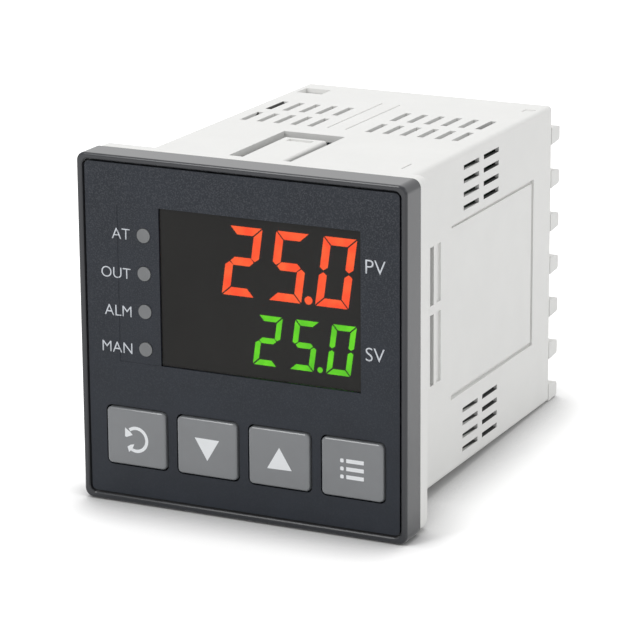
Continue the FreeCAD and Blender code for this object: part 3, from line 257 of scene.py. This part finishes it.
LOOKS = {
    "front_bezel": BEZEL, "front_panel": PANEL, "display_window": WINDOW, "status_lamps": LAMP,
    "pv_display": DISPLAY, "sv_display": DISPLAY, "pv_segments": RED, "sv_segments": GREEN,
    "rear_case": CASE, "display_board": BOARD, "main_board": BOARD, "power_board": BOARD,
    "signal_header": BLACK, "power_header": BLACK, "transformer_core": CORE,
    "transformer_coil": TAPE, "mains_capacitor": SLEEVE, "output_capacitors": SLEEVE,
    "alarm_relay": RELAY, "output_relay": RELAY, "microcontroller": BLACK,
    "input_amplifier": BLACK, "signal_isolators": WHITE, "terminal_base": BASE,
    "terminal_tabs": BRASS, "terminal_clamps": STEEL, "terminal_screws": STEEL,
}
for lens in ("autotune", "output", "alarm", "manual"):
    LOOKS[lens + "_lens"] = LENS
for key in KEYS:
    LOOKS[key + "_key"] = KEY
    LOOKS[key + "_switch"] = BLACK
    LOOKS[key + "_plunger"] = PLUNGER
for node, look in LOOKS.items():
    NODES[node].data.materials.clear()
    NODES[node].data.materials.append(look)


def second_look(node, look, chosen):
    """A second material for the faces that chosen(centre, normal) picks."""
    piece = NODES[node]
    piece.data.materials.append(look)
    turn = piece.matrix_world.to_3x3()
    for face in piece.data.polygons:
        if chosen(piece.matrix_world @ face.center, turn @ face.normal):
            face.material_index = 1


def not_at_front(centre, normal):
    """Faces of the pane other than its front face, which alone carries the tint."""
    return normal.y > -0.9


# The faces that these pick out get the case's painted shade.
CASE_DRAFT = math.radians(0.4)
CASE_HALF_WIDTH = 29.5 * MM       # at y 0, as is the half height
CASE_HALF_HEIGHT = 33.6 * MM
SKIN = 1.25 * MM                  # deeper faces are inside the case
INWARD_SKIN = 0.85 * MM           # the same for faces that look inwards
LOOKS_INWARDS = 15 * MM           # least product of the distance from the middle and the inward normal
SIDE_SLOTS_Y = (35 * MM, 55 * MM)
SIDE_SLOTS_Z = 20.4 * MM          # the side slots lie further than this from z 0, the label field nearer
SLOT_WALL_DEPTH = 0.1 * MM        # least depth of a slot wall's middle
LEVEL = 0.7                       # least size of a level face's upright normal


def gets_painted_shade(centre, normal):
    """Faces of the case behind its outer skin, and the long walls of its side slots, which get a painted
    shade.
    """
    draft = math.tan(CASE_DRAFT) * centre.y
    side = CASE_HALF_WIDTH - draft - abs(centre.x)
    roof = CASE_HALF_HEIGHT - draft - abs(centre.z)
    inward = -normal.x * centre.x if side < roof else -normal.z * centre.z
    slots = SIDE_SLOTS_Y[0] < centre.y < SIDE_SLOTS_Y[1] and abs(centre.z) > SIDE_SLOTS_Z
    if slots and SLOT_WALL_DEPTH < side < roof and abs(normal.z) > LEVEL:
        return True
    return min(side, roof) > (INWARD_SKIN if inward > LOOKS_INWARDS else SKIN)


second_look("display_window", CLEAR, not_at_front)
# The case's inner faces and slot walls get a painted shade.
second_look("rear_case", CASE_PAINTED_SHADE, gets_painted_shade)


# ---- outlines, and pieces made of them -----------------------------------------------------

def rounded(half_w, half_h, radius, steps=10):
    """Outline of a rectangle with round corners, as (x, z) points, anticlockwise."""
    points = []
    for corner, (sx, sz) in enumerate(((1, 1), (-1, 1), (-1, -1), (1, -1))):
        for step in range(steps + 1):
            angle = math.pi / 2 * (corner + step / steps)
            points.append((sx * (half_w - radius) + radius * math.cos(angle),
                           sz * (half_h - radius) + radius * math.sin(angle)))
    return points


def anticlockwise(points):
    area = sum(p[0] * q[1] - q[0] * p[1] for p, q in zip(points, points[1:] + points[:1]))
    return points if area > 0 else points[::-1]


def arc(radius, start, end, steps=28):
    """Points on a circle about the origin, from one angle in degrees to another."""
    return [(radius * math.cos(math.radians(start + (end - start) * i / steps)),
             radius * math.sin(math.radians(start + (end - start) * i / steps)))
            for i in range(steps + 1)]


def block(x, z, width, height, radius):
    return [(x + a, z + b) for a, b in rounded(width / 2, height / 2, radius, 4)]


def new_piece(name, mesh, looks):
    """Object of a bmesh, which it frees."""
    data = bpy.data.meshes.new(name)
    mesh.to_mesh(data)
    mesh.free()
    for look in looks:
        data.materials.append(look)
    piece = bpy.data.objects.new(name, data)
    scene.collection.objects.link(piece)
    return piece


# ---- keys with their printed signs ---------------------------------------------------------

KEY_LIP = 0.7 * MM          # the lip stands out this far round the key
KEY_EDGE = 0.45 * MM        # radius of the front edge
KEY_CORNER = 1.0 * MM
EDGE_STEPS = 6
LIP_FRONT = 1.3 * MM        # from the key's back, as is LIP_BACK
LIP_BACK = 0.5 * MM
# The painted shade of the gap round the key starts here.
GAP_SHADE_START = LIP_FRONT + 0.1 * MM   # from the back too, just in front of the lip
STEM_HALF = 2.2 * MM        # nearly round stem behind the lip
STEM_CORNER = 2.19 * MM
KEY_FACES, SIGN_FACES, GAP_SHADE_FACES = 0, 1, 2
SAME_PLACE = 2e-7
FILL_OUTLINES = 1           # the triangulation's output type with only the triangles inside outlines
MERGE_MM = 1e-5


def menu_sign():
    """Three lines of a list, each a dot and a bar."""
    outlines = []
    for z in (1.65, 0.0, -1.65):
        outlines.append(block(-2.2, z, 0.75, 0.8, 0.22))
        outlines.append(block(0.62, z, 3.8, 0.8, 0.08))
    return outlines


def return_sign():
    """Open ring with an arrow head at each end."""
    ring = arc(2.75, 128, -120) + arc(2.07, -120, 128)
    upper_head = [(-2.5, 2.3), (-2.55, 0.4), (-2.1, 0.36), (-0.8, 0.92), (-1.2, 1.4)]
    lower_head = [(-0.48, -1.0), (-1.34, -1.2), (-2.05, -1.7), (-1.7, -2.8), (-1.2, -2.3),
                  (-0.8, -1.75)]
    return [[(x - 0.06, z - 0.35) for x, z in shape] for shape in (ring, upper_head, lower_head)]


def sign_of(name):
    """Printed sign of a key, as closed outlines in mm about the key's centre."""
    if name == "down":
        return [[(-2.72, 2.0), (0.05, -2.6), (2.76, 1.93)]]
    if name == "up":
        return [[(0.1, 2.35), (-2.6, -2.2), (2.82, -2.12)]]
    return menu_sign() if name == "menu" else return_sign()


def key_rings(low, high):
    """The key's outlines about its middle, each with its y, from the front face to the back."""
    half_w = (high.x - low.x) / 2 - KEY_LIP
    half_h = (high.z - low.z) / 2 - KEY_LIP
    rings = []
    for step in range(EDGE_STEPS + 1):
        angle = math.pi / 2 * step / EDGE_STEPS
        inset = KEY_EDGE * (1 - math.sin(angle))
        y = low.y + KEY_EDGE * (1 - math.cos(angle))
        rings.append((rounded(half_w - inset, half_h - inset, KEY_CORNER - inset), y))
    body = rounded(half_w, half_h, KEY_CORNER)
    lip = rounded(half_w + KEY_LIP, half_h + KEY_LIP, KEY_CORNER)
    stem = rounded(STEM_HALF, STEM_HALF, STEM_CORNER)
    lip_front = high.y - LIP_FRONT
    lip_back = high.y - LIP_BACK
    return rings + [(body, lip_front), (lip, lip_front), (lip, lip_back), (stem, lip_back),
                    (stem, high.y)]


def key_walls(mesh, loops, skirt_from):
    """Faces from loop to loop and over the last one; those behind the given depth get the painted shade
    of the gap round the key.
    """
    count = len(loops[0])
    for first, second in zip(loops, loops[1:]):
        for i in range(count):
            j = (i + 1) % count
            face = mesh.faces.new((first[i], first[j], second[j], second[i]))
            face.smooth = True
            face.material_index = GAP_SHADE_FACES if first[0].co.y > skirt_from else KEY_FACES
    mesh.faces.new(list(reversed(loops[-1]))).material_index = GAP_SHADE_FACES


def key_front(mesh, edge_loop, edge, middle, y, signs):
    """Front face inside the loop, with the signs as parts of it in their own material."""
    outlines = [[(x / MM, z / MM) for x, z in edge]] + [anticlockwise(shape) for shape in signs]
    points, faces = [], []
    for shape in outlines:
        faces.append(list(range(len(points), len(points) + len(shape))))
        points += [Vector(point) for point in shape]
    made = delaunay_2d_cdt(points, [], faces, FILL_OUTLINES, MERGE_MM)
    made_points, made_faces, face_origins = made[0], made[2], made[5]
    verts = []
    for point in made_points:
        x, z = point.x * MM, point.y * MM
        near = [v for v in edge_loop if abs(v.co.x - middle.x - x) < SAME_PLACE
                and abs(v.co.z - middle.z - z) < SAME_PLACE]
        verts.append(near[0] if near else mesh.verts.new((middle.x + x, y, middle.z + z)))
    for corners, origins in zip(made_faces, face_origins):
        face = mesh.faces.new([verts[i] for i in corners])
        face.material_index = SIGN_FACES if any(origin > 0 for origin in origins) else KEY_FACES


def key_piece(name):
    """The key as one closed mesh; its sign is a part of the front face in another colour."""
    low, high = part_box(name + "_key")
    middle = (low + high) / 2
    rings = key_rings(low, high)
    mesh = bmesh.new()
    loops = [[mesh.verts.new((middle.x + x, y, middle.z + z)) for x, z in ring] for ring, y in rings]
    key_walls(mesh, loops, high.y - GAP_SHADE_START)
    key_front(mesh, loops[0], rings[0][0], middle, low.y, sign_of(name))
    bmesh.ops.recalc_face_normals(mesh, faces=mesh.faces)
    piece = new_piece(name + "_key_cap", mesh, (KEY, PRINT, KEY_GAP_SHADE))
    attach(piece, name + "_button")
    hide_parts(name + "_key")


for key in KEYS:
    key_piece(key)


# ---- printed legends -----------------------------------------------------------------------

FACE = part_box("front_panel")[0].y
RECESS_DEPTH = 0.06 * MM
RECESS_LEFT = -27.2 * MM
INK = 0.02 * MM             # the print stands this far out of its surface
LAMP_WORDS_RIGHT = -24.4    # in mm, as are the other places of words
LAMP_WORD_HEIGHT = 2.2
DISPLAY_WORDS_LEFT = 27.15
LETTER_STEPS = 6
LETTER_OFFSET = -0.008      # makes the font's strokes a little thinner
INK_MERGE = 1e-7


def flat_word(text):
    """A word as a flat mesh in its own plane."""
    curve = bpy.data.curves.new("legend_" + text, "FONT")
    curve.body = text
    curve.resolution_u = LETTER_STEPS
    curve.offset = LETTER_OFFSET
    temp = bpy.data.objects.new("temp", curve)
    scene.collection.objects.link(temp)
    bpy.context.view_layer.update()
    flat = bpy.data.meshes.new_from_object(temp.evaluated_get(bpy.context.evaluated_depsgraph_get()))
    bpy.data.objects.remove(temp)
    return flat


def stand_up(flat, height, z, right, left):
    """Brings a flat word to its height and its place on the front, by its right or left end."""
    xs = [v.co.x for v in flat.vertices]
    ys = [v.co.y for v in flat.vertices]
    scale = height * MM / (max(ys) - min(ys))
    shift = right * MM - max(xs) * scale if right is not None else left * MM - min(xs) * scale
    rise = z * MM - (max(ys) + min(ys)) / 2 * scale
    flat.transform(Matrix(((scale, 0, 0, shift), (0, 0, -1, 0), (0, scale, 0, rise), (0, 0, 0, 1))))


def ink_part(flat, keep_left, level):
    """What lies on one side of the recess's left edge, as a thin slab about the given level."""
    part = bmesh.new()
    part.from_mesh(flat)
    geometry = part.verts[:] + part.edges[:] + part.faces[:]
    bmesh.ops.bisect_plane(part, geom=geometry, plane_co=(RECESS_LEFT, 0, 0), plane_no=(1, 0, 0),
                           clear_outer=keep_left, clear_inner=not keep_left)
    bmesh.ops.remove_doubles(part, verts=part.verts, dist=INK_MERGE)
    grown = bmesh.ops.extrude_face_region(part, geom=part.faces[:])
    moved = [item for item in grown["geom"] if isinstance(item, bmesh.types.BMVert)]
    for vert in part.verts:
        vert.co.y = level + INK
    for vert in moved:
        vert.co.y = level - INK
    bmesh.ops.recalc_face_normals(part, faces=part.faces)
    data = bpy.data.meshes.new("part")
    part.to_mesh(data)
    part.free()
    return data


def legend(text, height, z, right=None, left=None):
    """Word printed on the panel; one set by its right end lies on both sides of the recess's edge."""
    flat = flat_word(text)
    stand_up(flat, height, z, right, left)
    out = bmesh.new()
    for keep_left in (True, False):
        on_face = keep_left or left is not None
        data = ink_part(flat, keep_left, FACE if on_face else FACE + RECESS_DEPTH)
        out.from_mesh(data)
        bpy.data.meshes.remove(data)
    piece = new_piece("legend_" + text, out, (LEGEND,))
    bpy.data.meshes.remove(flat)
    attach(piece, "housing")


for text, z in (("AT", 20.1), ("OUT", 12.0), ("ALM", 4.2), ("MAN", -3.45)):
    legend(text, LAMP_WORD_HEIGHT, z, right=LAMP_WORDS_RIGHT)
legend("PV", 2.8, 19.3, left=DISPLAY_WORDS_LEFT)
legend("SV", 2.75, 1.8, left=DISPLAY_WORDS_LEFT)


# ---- smooth shading of the CAD nodes -------------------------------------------------------

SHARP_ANGLE = math.radians(32)
for node in NODES.values():
    if node.hide_render:
        continue
    for polygon in node.data.polygons:
        polygon.use_smooth = True
    node.data.set_sharp_from_angle(angle=SHARP_ANGLE)


# ---- floor ---------------------------------------------------------------------------------

def seen_directly(nodes, links):
    """1 for camera, glossy and transmission rays, otherwise 0."""
    path = nodes.new("ShaderNodeLightPath")
    total = path.outputs["Is Camera Ray"]
    for name in ("Is Glossy Ray", "Is Transmission Ray"):
        total = combine(nodes, links, "MAXIMUM", total, path.outputs[name])
    return total


def by_ray(nodes, links, lighting, shown, output):
    """Surface that is the shader shown where it is seen directly, and lighting for other rays."""
    blend = nodes.new("ShaderNodeMixShader")
    links.new(seen_directly(nodes, links), blend.inputs["Fac"])
    links.new(lighting.outputs[0], blend.inputs[1])
    links.new(shown.outputs[0], blend.inputs[2])
    links.new(blend.outputs[0], nodes[output].inputs["Surface"])


FLOOR_HALF = 6.0
FLOOR_DARK = (0.83, 0.83, 0.83)
FLOOR_LIGHT = (0.85, 0.85, 0.85)
CONTACT_REACH = 14 * MM         # the contact shadow reaches this far from the part
CONTACT_OPENNESS = (0.4, 1.0)   # range of openness over which the floor's colour changes
CONTACT_COLOURS = (0.55, 1.38)  # the floor's colour, as seen directly, at its two ends
CONTACT_SAMPLES = 8
FRONT_FOOT_Y = -4.0 * MM        # the frame is taken to touch the floor here


def floor_white():
    """White floor; where it is seen directly it darkens close to the part."""
    mat, nodes, links, shader = new_material("floor_white")
    base = ramp(nodes, links, noise(nodes, links, 3.0), (0.3, FLOOR_DARK), (0.7, FLOOR_LIGHT))
    links.new(base, shader.inputs["Base Color"])
    set_inputs(shader, {"Roughness": 0.9, "Specular IOR Level": 0.0})
    white = nodes.new("ShaderNodeBsdfDiffuse")
    contact = nodes.new("ShaderNodeAmbientOcclusion")
    contact.samples = CONTACT_SAMPLES
    contact.inputs["Distance"].default_value = CONTACT_REACH
    colour = map_range(nodes, links, contact.outputs["AO"], CONTACT_OPENNESS, CONTACT_COLOURS)
    links.new(colour, white.inputs["Color"])
    by_ray(nodes, links, shader, white, "Material Output")
    return mat


# The controller stands on its front frame and on the foot of its terminal base, which is a little
# higher, so the floor slopes in the part's frame.
base_low, base_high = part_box("terminal_base")
bezel_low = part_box("front_bezel")[0]
front_foot = Vector((0, FRONT_FOOT_Y, bezel_low.z))
rear_foot = Vector((0, base_high.y, base_low.z))
slope = math.atan2(rear_foot.z - front_foot.z, rear_foot.y - front_foot.y)
tilt = Matrix.Translation(front_foot) @ Matrix.Rotation(slope, 4, "X")

floor_corners = [tilt @ Vector((sx * FLOOR_HALF, sy * FLOOR_HALF, 0))
                 for sx, sy in ((-1, -1), (1, -1), (1, 1), (-1, 1))]
floor_mesh = bpy.data.meshes.new("floor")
floor_mesh.from_pydata(floor_corners, [], [(0, 1, 2, 3)])
floor_mesh.materials.append(floor_white())
floor = bpy.data.objects.new("floor", floor_mesh)
scene.collection.objects.link(floor)


# ---- light ---------------------------------------------------------------------------------

WORLD_LIGHTING = 0.62
WORLD_SHOWN = 1.0
PURE_WHITE = (1, 1, 1, 1)
MIDDLE = (0, 0.04, 0)       # about the middle of the part


def studio_world():
    """White surroundings, less strong as a light than they look."""
    world = bpy.data.worlds.new("studio")
    scene.world = world
    world.use_nodes = True
    nodes, links = world.node_tree.nodes, world.node_tree.links
    lighting = nodes["Background"]
    set_inputs(lighting, {"Color": PURE_WHITE, "Strength": WORLD_LIGHTING})
    shown = nodes.new("ShaderNodeBackground")
    set_inputs(shown, {"Color": PURE_WHITE, "Strength": WORLD_SHOWN})
    by_ray(nodes, links, lighting, shown, "World Output")


def area_light(name, place, aim, width, height, power):
    """Rectangular light at a place, turned to its aim; sizes in metres, power in watts."""
    data = bpy.data.lights.new(name, "AREA")
    data.shape = "RECTANGLE"
    data.size = width
    data.size_y = height
    data.energy = power
    lamp = bpy.data.objects.new(name, data)
    lamp.location = place
    lamp.rotation_mode = "QUATERNION"
    lamp.rotation_quaternion = (Vector(aim) - Vector(place)).to_track_quat("-Z", "Y")
    scene.collection.objects.link(lamp)


studio_world()
area_light("top_light", (-0.1, 0.35, 0.85), MIDDLE, width=0.6, height=0.6, power=2.0)
area_light("front_light", (-0.44, -0.73, 0.68), (-0.44, 0, 0), width=0.26, height=0.9, power=3.9)
area_light("side_light", (1.0, 0.1, 0.6), MIDDLE, width=0.5, height=0.5, power=1.6)


# ---- camera --------------------------------------------------------------------------------

AZIMUTH = math.radians(25.97)
ELEVATION = math.radians(15.91)
ROLL = math.radians(-0.40)
DISTANCE = 696.8 * MM
TARGET = Vector((-5.09 * MM, 36.0 * MM, -7.14 * MM))
FOCAL_LENGTH_MM = 186.85
SENSOR_WIDTH_MM = 36.0


def photo_camera():
    """Camera of the photograph: from the front right and a little above the part."""
    back = Vector((math.sin(AZIMUTH) * math.cos(ELEVATION), -math.cos(AZIMUTH) * math.cos(ELEVATION),
                   math.sin(ELEVATION)))
    right = (-back).cross(Vector((0, 0, 1))).normalized()
    up = right.cross(-back)
    side = right * math.cos(ROLL) + up * math.sin(ROLL)
    top = up * math.cos(ROLL) - right * math.sin(ROLL)
    place = TARGET + back * DISTANCE
    data = bpy.data.cameras.new("camera")
    data.sensor_width = SENSOR_WIDTH_MM
    data.lens = FOCAL_LENGTH_MM
    data.clip_start = 0.01
    data.clip_end = 50.0
    camera = bpy.data.objects.new("camera", data)
    camera.matrix_world = Matrix(((side.x, top.x, back.x, place.x), (side.y, top.y, back.y, place.y),
                                  (side.z, top.z, back.z, place.z), (0, 0, 0, 1)))
    scene.collection.objects.link(camera)
    scene.camera = camera


photo_camera()
